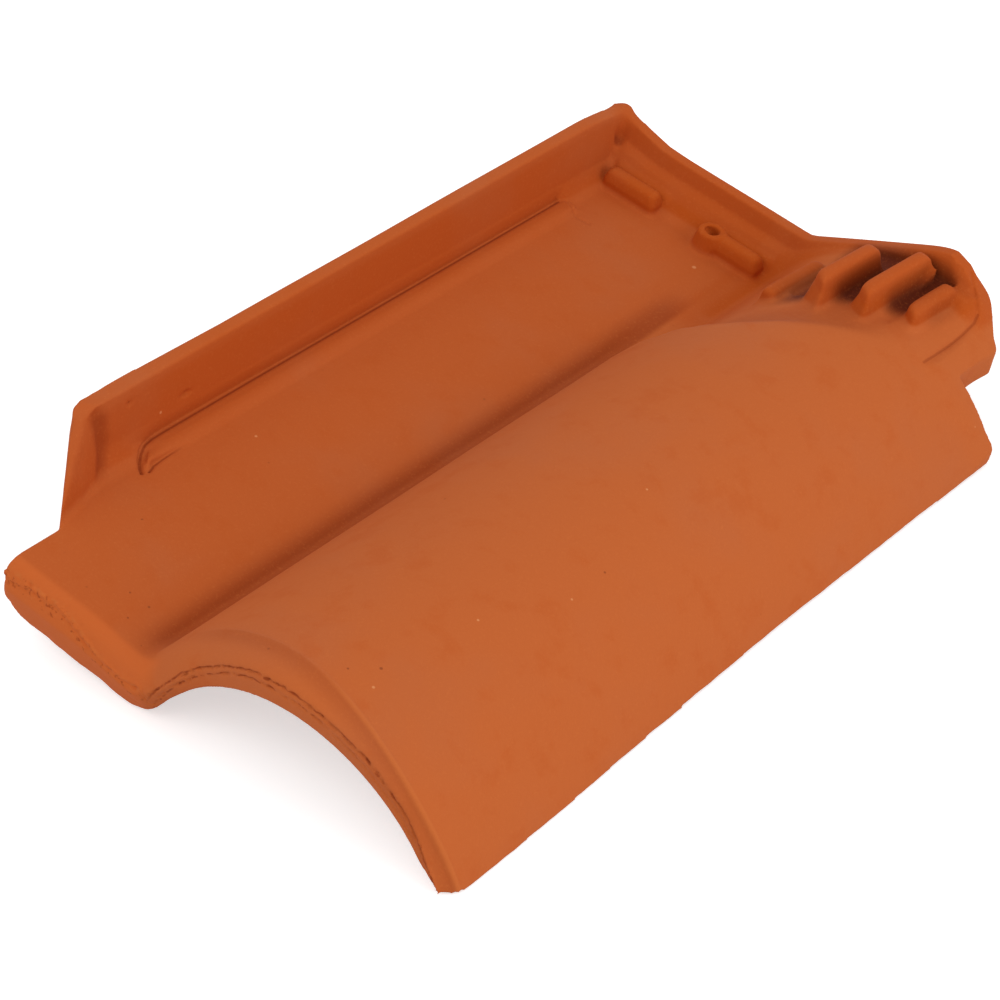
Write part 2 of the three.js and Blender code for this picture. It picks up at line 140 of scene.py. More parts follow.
# corners of the outline on the tile's plan: place, outward directions of the two sides, radius
OUTLINE_CORNERS = (
    ((199.8, 400), (0, 1), (0.662, 0.75), 16),
    ((216.8, 385), (0.662, 0.75), (1, 0), 7),
    ((244, 357), (0, 1), (1, 0), 4.5),
    ((247, 0), (0, -1), (1, 0), 4),
)

# ---- light and camera
ROOM_LEVEL = 0.79
SOFTBOX_SIZE = 1.4
SOFTBOX_DISTANCE = 2.2
# softboxes: azimuth counted from +X towards +Y, elevation, power
SOFTBOXES = {"low_right": (0, 20, 11.9), "front": (270, 50, 6.5)}
FLOOR_REACH = 6
FLOOR_GLOW = 0.55
LENS = 107.97
SENSOR = 36
CAMERA_AIM = (8.0, -34.2, 30)
CAMERA_BACK = 1172.97
CAMERA_AZIMUTH = 38.524
CAMERA_ELEVATION = 35.105
CAMERA_ROLL = 1.766


def finished_mesh(piece):
    """Applies the piece's modifiers to its mesh."""
    graph = bpy.context.evaluated_depsgraph_get()
    mesh = bpy.data.meshes.new_from_object(piece.evaluated_get(graph))
    piece.modifiers.clear()
    piece.data = mesh


def merged_copy(node, name):
    """A copy of a node as a new piece, with its loose triangles merged into one skin."""
    skin = bmesh.new()
    skin.from_mesh(frame["nodes"][node].data)
    bmesh.ops.remove_doubles(skin, verts=skin.verts, dist=MERGE)
    mesh = bpy.data.meshes.new(name)
    skin.to_mesh(mesh)
    skin.free()
    piece = bpy.data.objects.new(name, mesh)
    bpy.context.scene.collection.objects.link(piece)
    return piece


def tapered_block(low, high, slant):
    """A block that stands through the tile's skin and slants across with its length."""
    block = bmesh.new()
    bmesh.ops.create_cube(block, size=1)
    size = (high[0] - low[0], high[1] - low[1], BLOCK_HEIGHT)
    bmesh.ops.scale(block, vec=size, verts=block.verts)
    bmesh.ops.transform(block, matrix=Matrix.Shear("XZ", 4, (slant, 0)), verts=block.verts)
    middle = ((low[0] + high[0]) / 2, (low[1] + high[1]) / 2, BLOCK_MIDDLE)
    bmesh.ops.translate(block, vec=middle, verts=block.verts)
    return block


def lap_drum(radius):
    """A drum along the tile, to keep what lies under the lap's skin."""
    drum = bmesh.new()
    size = {"radius1": radius, "radius2": radius, "depth": DRUM_LENGTH}
    bmesh.ops.create_cone(drum, cap_ends=True, segments=DRUM_SIDES, **size)
    bmesh.ops.rotate(drum, matrix=Matrix.Rotation(math.pi / 2, 3, "X"), verts=drum.verts)
    bmesh.ops.translate(drum, vec=(LAP_X, DRUM_MIDDLE, LAP_Z), verts=drum.verts)
    return drum


def tool(name, shape):
    """A cutting tool as a piece of its own, turned from the tile's directions into the frame's."""
    bmesh.ops.transform(shape, matrix=ON_TILE, verts=shape.verts)
    mesh = bpy.data.meshes.new(name)
    shape.to_mesh(mesh)
    shape.free()
    piece = bpy.data.objects.new(name, mesh)
    bpy.context.scene.collection.objects.link(piece)
    return piece


def cut_away(piece, cutter):
    """Cuts one piece out of another and removes the cutter."""
    cut = piece.modifiers.new("cut", "BOOLEAN")
    cut.operation = "DIFFERENCE"
    cut.solver = "EXACT"
    cut.object = cutter
    finished_mesh(piece)
    bpy.data.objects.remove(cutter)


def cut_recesses(piece):
    """Clears the clay round the fins, down to a little under the lap's skin."""
    for low, high, slant, radius in RECESSES:
        block = tool("block", tapered_block(low, high, slant))
        cut_away(block, tool("drum", lap_drum(radius)))
        cut_away(piece, block)


def rounds_nose(place):
    """Whether a place on the tile is in the rounded part of the nose, above its parting line."""
    x, y, z = place
    over_parting = z > -9 if x < 97 else math.hypot(x - ROLL_X, z - ROLL_Z) > parting_radius(x) + 0.9
    return 0.3 < y < 12.5 and over_parting


def along_rib(place):
    """Whether a place on the tile is on the long rib between its ends."""
    x, y, z = place
    return 12.5 < x < 25 and 84 < y < 346 and z < 6


def parting_radius(x):
    """Radius of the nose's parting line, which dips towards the valley."""
    return PARTING_AT_VALLEY + PARTING_RISE * fade(x, 96, 150)


def pressed_edges(piece):
    """Points along every crisp edge of the merged skin, to measure distances from."""
    skin = bmesh.new()
    skin.from_mesh(piece.data)
    to_tile = ON_TILE.inverted()
    points = []
    for edge in skin.edges:
        if edge.is_manifold and edge.calc_face_angle() > PRESSED_EDGE:
            start, end = (vert.co for vert in edge.verts)
            middle = to_tile @ start.lerp(end, 0.5)
            if rounds_nose(middle) or along_rib(middle):
                continue
            steps = max(1, round((end - start).length / EDGE_STEP))
            points += [start.lerp(end, step / steps) for step in range(steps + 1)]
    skin.free()
    tree = kdtree.KDTree(len(points))
    for index, point in enumerate(points):
        tree.insert(point, index)
    tree.balance()
    return tree


def least_smoothing(places):
    """Share of the smoothing that also reaches pressed edges: fins, rib, nail boss and the head corner."""
    x, y, z = places.T
    fins = (x > 122) & (x < 208) & (y > 328) & (y < 391) & (z > 20)
    rib = 0.1 * ((x > 13.5) & (x < 25) & (y > 84) & (y < 346) & (z < 6))
    fold = (x < 22) & (y > 51) & (y < 63) & (z > 1) & (z < 26)
    boss = (np.hypot(x - BOSS_X, y - BAR_Y) < 9) & (z > 6)
    corner = (x < 16) & (y > 384) & (z > 6)
    behind = (x > 177) & (x < 198) & (y > 383) & (y < 393) & (z > 25)
    return 0.12 * fins + 0.2 * behind + rib + 0.3 * fold + 0.06 * boss + 0.3 * corner


def smooth_between_edges(piece, edges):
    """Takes the facets out of the broad surfaces; the pressed edges and the valley stay as they are."""
    group = piece.vertex_groups.new(name="broad")
    places = tile_places(piece)
    in_valley = fade(places[:, 0], 82, 89) * fade(places[:, 0], 112, 104) * fade(places[:, 1], 14, 22)
    most = 1 - 0.93 * in_valley * fade(places[:, 1], 345, 300) * (places[:, 2] > -6)
    most *= 1 - 0.85 * (places[:, 0] < 36) * (places[:, 1] < 14)
    least = least_smoothing(places)
    bins = {}
    for vert, high, low in zip(piece.data.vertices, most, least):
        distance = edges.find(vert.co)[2]
        weight = min(1, max(0, (distance - EDGE_KEEPS) / (EDGE_LETS_GO - EDGE_KEEPS))) * high
        bins.setdefault(round(max(weight, low) * WEIGHT_STEPS), []).append(vert.index)
    for step, members in bins.items():
        group.add(members, step / WEIGHT_STEPS, "REPLACE")
    broad = piece.modifiers.new("broad surfaces", "SMOOTH")
    broad.factor = 0.5
    broad.iterations = BROAD_SMOOTHING
    broad.vertex_group = group.name
    finished_mesh(piece)


# ---- what is worked into the skin by hand: each function says how far the skin goes in, in millimetres
def read(piece, name):
    """A value of three numbers for each of the piece's vertices."""
    values = np.empty(len(piece.data.vertices) * 3)
    piece.data.vertices.foreach_get(name, values)
    return values.reshape(-1, 3)


def tile_places(piece):
    """Places of the piece's vertices on the tile, in millimetres."""
    return (read(piece, "co") - np.array(TAIL_CORNER)) @ np.array(TURN) / MM


def bell(distance, width):
    """1 at no distance, falling off over a width."""
    return np.exp(-((distance / width) ** 2))


def fade(values, start, end):
    """Smooth share from 0 at start to 1 at end; start may be the larger one."""
    share = np.clip((values - start) / (end - start), 0, 1)
    return share * share * (3 - 2 * share)


def off_path(places, path):
    """Distance of each place from a path; a path with points of two values lies on the tile's plan."""
    nearest = np.full(len(places), np.inf)
    seen = places[:, : len(path[0])]
    for start, end in zip(path, path[1:]):
        start, run = np.array(start), np.array(end) - np.array(start)
        share = np.clip((seen - start) @ run / (run @ run), 0, 1)
        gap = seen - start - share[:, None] * run
        nearest = np.minimum(nearest, np.sqrt((gap**2).sum(1)))
    return nearest


def rough(places, where, size, seed):
    """Uneven values between -1 and 1 with waves of a size, worked out only where they are needed."""
    values = np.zeros(len(places))
    for index in np.flatnonzero(where):
        values[index] = noise.noise(Vector(places[index]) / size + Vector((seed, 2 * seed, 3 * seed)))
    return values


def grooves(places):
    """Sharp lines that the mould's inserts leave beside the long rib and the notch."""
    x, y, z = places.T
    low = (z < 9) & (z > -4)
    depth = 1.5 * bell(off_path(places, RIB_GROOVE), 0.8) * low
    depth += 0.7 * bell(off_path(places, RIB_HEAD_GROOVE), 0.9) * low
    depth += 1.1 * bell(off_path(places, RIB_TAIL_GROOVE), 0.7) * low * fade(y, 101, 86)
    depth += 0.3 * bell(x - 23.4, 1.3) * low * fade(y, 84, 96) * fade(y, 346, 338)
    outside = (z > 0) & (x > 180) & (y > 335)
    depth += 0.8 * bell(off_path(places, NOTCH_GROOVE), 0.9) * outside * fade(y, 345, 360)
    return depth


def return_fold(places):
    """Deep fold where the side wall's return meets its face."""
    return 1.5 * bell(off_path(places, RETURN_FOLD), 3) * fade(places[:, 2], 0.5, 4)


def wall_foot(places, normals):
    """The side wall runs straight down to the rib, where a plain form would have a fillet."""
    x, y, z = places.T
    straight = np.maximum(2.7, 8 - 5 * (x - 12))
    run = fade(y, 76, 90) * fade(y, 349, 343) * (normals[:, 2] > 0.15)
    return np.clip(z - straight, 0, 4) * run * (x > 11.8) * (x < 17.5) * (z < 9)


def off_parting_line(places):
    """Height of each place above the nose's torn parting line, over the pan and round the arch."""
    x, z = places[:, 0], places[:, 2]
    over_pan = z - np.interp(x, *np.array(TORN_LINE).T)
    over_arch = np.hypot(x - ROLL_X, z - ROLL_Z) - parting_radius(x)
    share = fade(x, 97, 104)
    return over_pan * (1 - share) + over_arch * share


def nose_burr(places, normals):
    """Torn clay where the two halves of the mould met round the nose."""
    x, y, z = places.T
    near = (y < 9) & (z > -27) & (normals[:, 1] < 0.5) & (normals[:, 2] > -0.6)
    height = off_parting_line(places)
    wander = 0.9 * rough(places * (1, 0, 1), near, 14, 3) + 0.5 * rough(places, near, 4, 5)
    ragged = rough(places, near, 2.2, 7)
    over_arch = fade(x, 96, 106)
    torn = 1.3 * bell(height - 0.3 - wander, 0.6) * np.clip(0.8 + 1.3 * ragged, 0, 1.3) * over_arch
    second = 1.1 * bell(height + SECOND_TEAR - wander, 0.6) * np.clip(0.35 + 1.6 * ragged, 0, 1.2)
    second = second * over_arch * fade(x, 215, 170)
    band = fade(height, -6, -2) * fade(height, 3, 0.5) * (1 - over_arch)
    lumps = 0.3 * rough(places, near, 3.2, 9) + 0.15 * rough(places, near, 1.5, 15)
    pitted = 1.6 * np.clip(rough(places, near, 2.6, 17) - 0.3, 0, 1)
    over_pan = 0.8 * wander - 0.3
    lip = bell(height - over_pan, 0.8) - 0.8 * bell(height - over_pan + 1.7, 0.7)
    lip = -0.75 * lip * np.clip(0.6 + 1.2 * ragged, 0, 1.3) * (1 - over_arch)
    return near * (torn + second + band * (lumps + pitted) + lip)


def worn_corner(places):
    """Wear at the nose's lower corner under the tail cut."""
    x, y, z = places.T
    flat = (x - 24.4) * 0.85 + (z + 15) * 0.52
    return np.clip(-flat, 0, 8) * (y < 24) * (x < 60) * (z < -9)


def uneven_edges(places, distance):
    """Free edges that were cut and handled while the clay was soft."""
    x, y, z = places.T
    along_edge = fade(distance, 6, 1.5)
    return_wall = ((x < 30) & (z > 1)) * fade(y, 82, 62)
    free_edge = (x > 232) & (z < 14)
    notch = (x > 200) & (y > 340)
    tail = (y < 14) & (z < -20)
    share = np.maximum(return_wall, free_edge | notch | tail)
    where = (along_edge > 0) & (share > 0)
    depth = 0.25 + 0.45 * rough(places, where, 15, 11) + 0.25 * rough(places, where, 5, 13)
    return share * along_edge * np.clip(depth, 0, 1.1) * np.where(free_edge | notch, 0.5, 1)


def hand_marks(places):
    """A gouge and a small dent in the side wall's face."""
    x, y, z = places.T
    gouge = 1.5 * bell(x - 10.8, 2.4) * bell(y - 110.4, 2.6) * bell(z - 13, 1.0)
    dent = 0.7 * bell(x - 8.9, 2.5) * bell(y - 80, 1.2) * bell(z - 23, 1.0)
    return gouge + dent


def broad_unevenness(places):
    """Slow waves that drying leaves in the broad surfaces."""
    x, y, z = places.T
    waves = np.sin(x / 23 + y / 61) + np.sin(y / 34 - x / 47 + 1.3) + np.sin((x + y) / 17 + z / 29)
    return 0.05 * (waves + 3)


def nose_rim(places, normals):
    """Rim that the mould leaves round the roll behind the nose: it stands up, with a hollow before it."""
    x, y, z = places.T
    top = (normals[:, 2] > -0.3) * (np.hypot(x - ROLL_X, z - ROLL_Z) > 78)
    rim = RIM_AT_VALLEY - RIM_DRAWS_IN * fade(x, 140, 232)
    stands = 0.9 * bell(y - rim, 1.2) * fade(x, 106, 132)
    hollow = 0.75 * bell((y - rim * 0.55 - 1) / (rim * 0.32), 1) * fade(x, 102, 120)
    return top * (hollow - stands)


def valley_crease(places, normals):
    """The gutter is deepest right at the roll's foot."""
    x, y, z = places.T
    sharp = 1.9 * bell(x - VALLEY_X, 3.8) * fade(y, 6, 30) * fade(y, 322, 285)
    return sharp * (normals[:, 2] > 0.2) * (z > -5)


def roll_foot(places, normals):
    """The roll's flank is pressed in a little just over its foot."""
    x, y, z = places.T
    run = fade(y, 8, 32) * fade(y, 340, 300)
    return 1.2 * bell(z - 0.5, 2.5) * bell(x - 97, 4) * run * (normals[:, 2] > 0.1) * (z > -6)


def lap_step(places):
    """The roll breaks off to the lap in a short step, nearer the tail than a plain ramp would be."""
    x, y, z = places.T
    across = np.clip((x - LAP_STEP_FROM) / (LAP_X - LAP_STEP_FROM), 0, 1.2)
    past = y - LAP_STEP_AT - LAP_STEP_RUN * across
    on_skin = np.hypot(x - LAP_X, z - LAP_Z) > LAP_RADIUS - 4
    shift = fade(past, -40, -9) * (5.2 + 3 * fade(past, -10, 7)) * fade(past, 24, 9)
    return shift * on_skin * fade(x, 112, 140) * fade(x, 206, 188) * (z > 0)


def swollen_bars(places):
    """The cross bars and the nail boss are full and round on top."""
    x, y, z = places.T
    first = fade(x, 14.5, 18) * fade(x, 49, 45)
    second = fade(x, 79, 82) * fade(x, 107, 103)
    return -1.0 * np.maximum(first, second) * fade(abs(y - BAR_Y), 9, 6) * fade(z, 1, 5) * (z < 13)


def nail_hole(places):
    """The nail hole is half closed by a slug of clay, higher on one side."""
    x, y, z = places.T
    away = np.hypot(x - BOSS_X, y - BAR_Y)
    inside = (away < BOSS_HOLE) & (z > 0) & (z < BOSS_TOP)
    tilted = np.clip(0.55 + (x - BOSS_X + (y - BAR_Y) * 0.6) * 0.12, 0.2, 0.9)
    return inside * (BOSS_TOP - z) * (1 - tilted)


def corner_pit(places):
    """A pit high in the corner between the side wall and the head wall."""
    away = (places - CORNER_PIT) / (2.2, 2.2, 4)
    return 2.0 * np.exp(-(away**2).sum(1))


def raised_corner(places):
    """The head corner's top stands a little up."""
    x, y, z = places.T
    return 0.9 * bell(np.hypot(x - 3, y - 398), 9) * fade(z, 18, 26)


def rounded_crest(places):
    """The head wall's top comes down in a round shoulder."""
    x, y, z = places.T
    return 4.6 * bell(x - 190, 10.5) * fade(y, 383, 394) * fade(z, 37, 47)


def swollen_shoulder(places):
    """The lap's outer corner bulges a little below its top."""
    x, y, z = places.T
    return 1.6 * bell(np.hypot(x - SHOULDER[0], y - SHOULDER[1]), 8) * fade(z, 33, 27) * (z > 8)


def rounded_outline(places):
    """Rounds the outline's corners: what stands outside each round is drawn in towards its centre."""
    moved = places.copy()
    for corner, first, second, radius in OUTLINE_CORNERS:
        first, second = np.array(first), np.array(second)
        centre = np.array(corner) - radius * np.linalg.solve(np.array((first, second)), (1, 1))
        arm = moved[:, :2] - centre
        far = np.hypot(arm[:, 0], arm[:, 1]) + 1e-9
        way = arm / far[:, None]
        cross = first[0] * second[1] - first[1] * second[0]
        turn_in = (first[0] * way[:, 1] - first[1] * way[:, 0]) * np.sign(cross) >= 0
        turn_out = (way[:, 0] * second[1] - way[:, 1] * second[0]) * np.sign(cross) >= 0
        edge = radius / np.maximum(way @ first, way @ second).clip(0.2)
        share = ((far - radius * 0.5) / (edge - radius * 0.5)).clip(0, 1.2)
        pulled = np.where(share > 0, radius * 0.5 * (1 + share), far)
        inside = turn_in & turn_out & (far < edge + 3) & (far > radius * 0.5)
        moved[inside, :2] = (centre + way * pulled[:, None])[inside]
    return moved


def worked_skin(piece, edges):
    """Works all the forms into the skin: along its normals, along the tile, down and outwards."""
    turn = np.array(TURN)
    places = tile_places(piece)
    normals = read(piece, "normal") @ turn
    distance = np.array([edges.find(vert.co)[2] for vert in piece.data.vertices]) / MM
    depth = grooves(places) + nose_burr(places, normals) + worn_corner(places)
    depth += uneven_edges(places, distance) + hand_marks(places) + broad_unevenness(places)
    depth += nose_rim(places, normals) + return_fold(places) + roll_foot(places, normals)
    depth += swollen_bars(places) + corner_pit(places)
    sunk = valley_crease(places, normals) + rounded_crest(places) - nail_hole(places)
    sunk += wall_foot(places, normals) - raised_corner(places)
    out = swollen_shoulder(places)
    back = lap_step(places)
    places = places - normals * depth[:, None]
    places[:, 1] -= back
    places[:, 2] -= sunk
    places = rounded_outline(places)
    places[:, :2] += out[:, None] * SHOULDER_OUT
    ground = places * MM @ turn.T + np.array(TAIL_CORNER)
    # the skin stays inside the solid's own box
    low, high = np.array(CAD_BOX[0]) + INSIDE_BOX, np.array(CAD_BOX[1]) - INSIDE_BOX
    piece.data.vertices.foreach_set("co", np.clip(ground, low, high).ravel())
    piece.data.update()


def fired_skin():
    """The tile's skin: evened out, softened, worked by hand and thinned."""
    piece = merged_copy("roof_tile", "fired_tile")
    cut_recesses(piece)
    edges = pressed_edges(piece)
    remesh = piece.modifiers.new("even skin", "REMESH")
    remesh.mode = "VOXEL"
    remesh.voxel_size = SKIN_VOXEL
    soften = piece.modifiers.new("soft edges", "SMOOTH")
    soften.factor = 0.5
    soften.iterations = SOFTENING
    finished_mesh(piece)
    smooth_between_edges(piece, edges)
    worked_skin(piece, edges)
    thin = piece.modifiers.new("fewer faces", "DECIMATE")
    thin.ratio = SKIN_TRIANGLES / (2 * len(piece.data.polygons))
    thin.use_collapse_triangulate = True
    finished_mesh(piece)
    piece.data.shade_smooth()
    return piece


# ---- shader maths: a socket takes part in sums, and one method adds every other node
class Socket:
    def __init__(self, finish, socket):
        self.finish = finish
        self.socket = socket

    def other(self, name):
        return Socket(self.finish, self.socket.node.outputs[name])

    def sum(self, operation, first, second=0.0):
        return self.finish.add("Math", {"operation": operation}, {0: first, 1: second})

    def __add__(self, value):
        return self.sum("ADD", self, value)

    def __sub__(self, value):
        return self.sum("SUBTRACT", self, value)

    def __mul__(self, value):
        return self.sum("MULTIPLY", self, value)

    def __truediv__(self, value):
        return self.sum("DIVIDE", self, value)

    def __rsub__(self, value):
        return self.sum("SUBTRACT", value, self)

    def __abs__(self):
        return self.sum("ABSOLUTE", self)

    def larger(self, value):
        return self.sum("MAXIMUM", self, value)

    def smaller(self, value):
        return self.sum("MINIMUM", self, value)

    def root(self):
        return self.sum("SQRT", self)

    __radd__ = __add__
    __rmul__ = __mul__

    def between(self, start, end):
        """Smooth share from 0 at start to 1 at end; start may be the larger one."""
        settings = {"interpolation_type": "SMOOTHSTEP"}
        return self.finish.add("MapRange", settings, {"Value": self, "From Min": start, "From Max": end})


class Finish:
    """The nodes of a material or a world."""

    def __init__(self, owner):
        owner.use_nodes = True
        self.tree = owner.node_tree
        self.tree.nodes.clear()

    def add(self, kind, settings, sockets, output=0):
        node = self.tree.nodes.new("ShaderNode" + kind)
        for name, value in settings.items():
            setattr(node, name, value)
        for name, value in sockets.items():
            if isinstance(value, Socket):
                self.tree.links.new(value.socket, node.inputs[name])
            else:
                node.inputs[name].default_value = value
        return Socket(self, node.outputs[output]) if len(node.outputs) else None

    def mixed(self, colour, other, share):
        """One colour over another, by a share."""
        return self.add("Mix", {"data_type": "RGBA"}, {0: share, 6: colour, 7: other}, 2)

    def vector(self, operation, first, second, output="Vector"):
        """A sum with places on the tile."""
        return self.add("VectorMath", {"operation": operation}, {0: first, 1: second}, output)

    def tile_place(self):
        """Place in the tile's own directions, in millimetres."""
        back = TURN.transposed()
        sockets = {
            "Vector": self.add("TexCoord", {}, {}, "Object"),
            "Location": -(back @ TAIL_CORNER) / MM,
            "Rotation": back.to_euler(),
            "Scale": (1 / MM, 1 / MM, 1 / MM),
        }
        return self.add("Mapping", {"vector_type": "POINT"}, sockets)

    def clouds(self, place, size, detail=2.0, roughness=0.5):
        """Uneven share around a half, with waves of a size in millimetres."""
        sockets = {"Vector": place, "Scale": 1 / size, "Detail": detail, "Roughness": roughness}
        return self.add("TexNoise", {}, sockets)

    def from_specks(self, place, spacing):
        """Distance in millimetres from specks strewn through the clay."""
        return self.add("TexVoronoi", {}, {"Vector": place, "Scale": 1 / spacing}) * spacing


# ---- fired clay: its colours with painted shade, sheen and highlights, and the marks on it
PAN_CLAY = (0.485, 0.096, 0.0165, 1)
# paler than the pan's clay: a painted sheen on the roll
ROLL_PAINTED_SHEEN = (0.505, 0.113, 0.0235, 1)
# darker, richer clay: painted shade on the walls, the lap's head and its flank, and random blotches
SHADE_AND_BLOTCH_CLAY = (0.465, 0.08, 0.0085, 1)
DULL_CLAY = (0.455, 0.113, 0.032, 1)
# pale clay: the sandy grain, and painted highlights on the nose rim and the torn lip
PALE_GRAIN_AND_HIGHLIGHT = (0.56, 0.14, 0.03, 1)
BURNT_CLAY = (0.17, 0.03, 0.006, 1)
# near-black: painted shade in the recesses round the fins
DEEP_PAINTED_SHADE = (0.1, 0.009, 0.0007, 1)
# dark clay: painted shade in the fold, valley, under the step, corner pit, grooves, rim hollow and cracks,
# and random dark pits
SHADE_AND_PIT_CLAY = (0.25, 0.032, 0.003, 1)
# paler clay for the nose's front: painted light
NOSE_PAINTED_LIGHT = (0.56, 0.116, 0.021, 1)
# redder, darker clay for the bars and fins: painted shade
BAR_FIN_SHADE_CLAY = (0.455, 0.074, 0.004, 1)
GROG = (0.72, 0.3, 0.12, 1)

# single marks on the tile: place in millimetres and radius
DARK_MARKS = (
    ((92.3, 231.6, -2.3), 1.0), ((88.3, 143.9, -2.1), 0.8), ((91.6, 106.5, -2.4), 1.1),
    ((42, 56.7, 0), 0.7), ((67.4, 25.3, 0), 0.7), ((76.8, 25.9, -0.9), 0.8), ((75.9, 15.9, -0.8), 0.6),
    ((88.4, 10.7, -2), 0.7), ((197.5, 138.3, 37.4), 0.8), ((178.4, 33.6, 41.4), 0.9),
    ((171, 24.3, 41.8), 0.7), ((95, 30, -1), 1.2), ((7.6, 80, 23.5), 0.9),
)
PALE_MARKS = (
    ((80.8, 359.5, 0), 1.3), ((36.4, 125.6, 0), 0.8), ((7.6, 53.8, 32.7), 0.7), ((11.2, 96.2, 11.2), 0.9),
    ((145.7, 382.1, 38.2), 0.8), ((232.5, 351.2, 15.2), 0.8), ((198.4, 117.6, 37.1), 0.7),
    ((184.7, 79.2, 40.6), 0.7), ((181.2, 183.5, 41.1), 0.7), ((182.5, 25.1, 40.9), 0.8),
)


class TileClay(Finish):
    """The tile's material, with the places on the tile and the grains that its colours go by."""

    def __init__(self, material):
        super().__init__(material)
        self.place = self.tile_place()
        self.plan = self.vector("MULTIPLY", self.place, (1, 1, 0))
        self.across = self.add("SeparateXYZ", {}, {"Vector": self.place}, "X")
        self.along, self.height = self.across.other("Y"), self.across.other("Z")
        self.over_lap = self.from_line(LAP_X, LAP_Z)
        self.over_roll = self.from_line(ROLL_X, ROLL_Z)
        self.tone = self.clouds(self.place, 60, 3.0)
        self.sand = self.clouds(self.place, 1.3, 3.0, 0.65)
        self.wander = self.clouds(self.place, 9, 3.0) - 0.5

    def from_line(self, x, z):
        """Distance from a line that runs along the tile."""
        across, height = self.across - x, self.height - z
        return (across * across + height * height).root()

    def strewn(self, marks):
        """Share of single marks at named places."""
        nearest = 2.0
        for spot, radius in marks:
            nearest = (self.vector("DISTANCE", self.place, spot, "Value") / radius).smaller(nearest)
        return nearest.between(1, 0.45)

    def line(self, path, width):
        """Share of a thin line along a path on the tile's plan."""
        nearest = 2 * width
        for start, end in zip(path, path[1:]):
            start, run = Vector((*start, 0)), Vector((*end, 0)) - Vector((*start, 0))
            off = self.vector("SUBTRACT", self.plan, start)
            share = self.vector("DOT_PRODUCT", off, run / run.length_squared, "Value")
            share = share.larger(0.0).smaller(1.0)
            foot = self.add("VectorMath", {"operation": "SCALE"}, {0: run, "Scale": share})
            nearest = self.vector("DISTANCE", off, foot, "Value").smaller(nearest)
        return nearest.between(width, width * 0.35)


def tones(clay):
    """The roll is painted paler than the pan, a painted sheen; walls, bars, rib, fins, the lap's head and
    its flank are painted darker and richer, as painted shade, the side wall's top less so; random dull
    patches and blotches lie over all.
    """
    across, along, height, over_lap = clay.across, clay.along, clay.height, clay.over_lap
    head = along.between(333, 338) * across.between(96, 108)
    head = head * over_lap.between(LAP_RADIUS + 1.2, LAP_RADIUS + 3)
    wall_top = height.between(24, 28) * along.between(394, 380)
    wall = height.between(1.4, 3.5) * across.between(100, 94) * (1 - wall_top * 0.75)
    flank = along.between(312, 330) * across.between(134, 114) * across.between(90, 96)
    bars = height.between(1.4, 3.5) * along.between(368, 371) * along.between(385, 382.5)
    bars = bars * across.between(14, 16) * across.between(108, 106)
    fins = head * across.between(203, 199) * along.between(391, 388) * over_lap.between(90, 85)
    blotch = clay.clouds(clay.place, 14, 4.0, 0.6)
    # the roll is painted paler than the pan: a painted sheen
    colour = clay.mixed(PAN_CLAY, ROLL_PAINTED_SHEEN, across.between(94, 99))
    # painted shade: walls, rib, the lap's head and its flank darker, the side wall's top less so
    colour = clay.mixed(colour, SHADE_AND_BLOTCH_CLAY, wall.larger(head).larger(flank * 0.8))
    # painted shade on the bars and fins
    colour = clay.mixed(colour, BAR_FIN_SHADE_CLAY, bars.larger(fins))
    colour = clay.mixed(colour, DULL_CLAY, clay.tone.between(0.46, 0.72) * 0.35)
    # random blotches of the darker clay over all
    return clay.mixed(colour, SHADE_AND_BLOTCH_CLAY, blotch.between(0.5, 0.7) * 0.3)


def folds(clay, colour):
    """Painted shade: near-black clay in the recesses round the fins, and dark clay in the fold of the side
    wall's return.
    """
    across, along, height = clay.across, clay.along, clay.height
    low_down = (1 - (clay.over_lap - LAP_RADIUS) / 9.5).smaller(1.0).larger(0.0)
    among_fins = (along - across * 0.5 - 265).between(-3, 9) * across.between(132, 142)
    recess = low_down * among_fins * across.between(199, 184) * along.between(397, 391)
    fold = abs(along - (height * FOLD_LEAN + FOLD_FOOT).smaller(FOLD_TOP)).between(6.5, 0.8)
    fold = fold * across.between(24, 19) * height.between(-0.5, 5) * height.between(29, 22)
    # painted shade in the recesses round the fins
    colour = clay.mixed(colour, DEEP_PAINTED_SHADE, recess * 0.92)
    # painted shade in the return's fold
    return clay.mixed(colour, SHADE_AND_PIT_CLAY, fold * 0.55)


def hollows(clay, colour):
    """Painted shade: darker clay in the valley, under the lap's step and in the head corner's pit."""
    across, along, height, over_lap = clay.across, clay.along, clay.height, clay.over_lap
    valley = across.between(80, 92) * across.between(98.5, 95) * height.between(-7, -4)
    valley = valley * along.between(4, 24) * along.between(345, 320)
    step = along - LAP_STEP_AT - (across - LAP_STEP_FROM) * (LAP_STEP_RUN / (LAP_X - LAP_STEP_FROM))
    under_step = step.between(-14, -6) * step.between(20, 2) * across.between(108, 130)
    under_step = under_step * across.between(192, 172) * over_lap.between(LAP_RADIUS + 9, LAP_RADIUS + 3)
    corner = clay.vector("DISTANCE", clay.place, CORNER_SHADE, "Value")
    # painted shade in the valley, under the step and in the corner's pit
    colour = clay.mixed(colour, SHADE_AND_PIT_CLAY, valley * 0.55)
    colour = clay.mixed(colour, SHADE_AND_PIT_CLAY, under_step * 0.3)
    return clay.mixed(colour, SHADE_AND_PIT_CLAY, corner.between(3.6, 1.2) * 0.75)


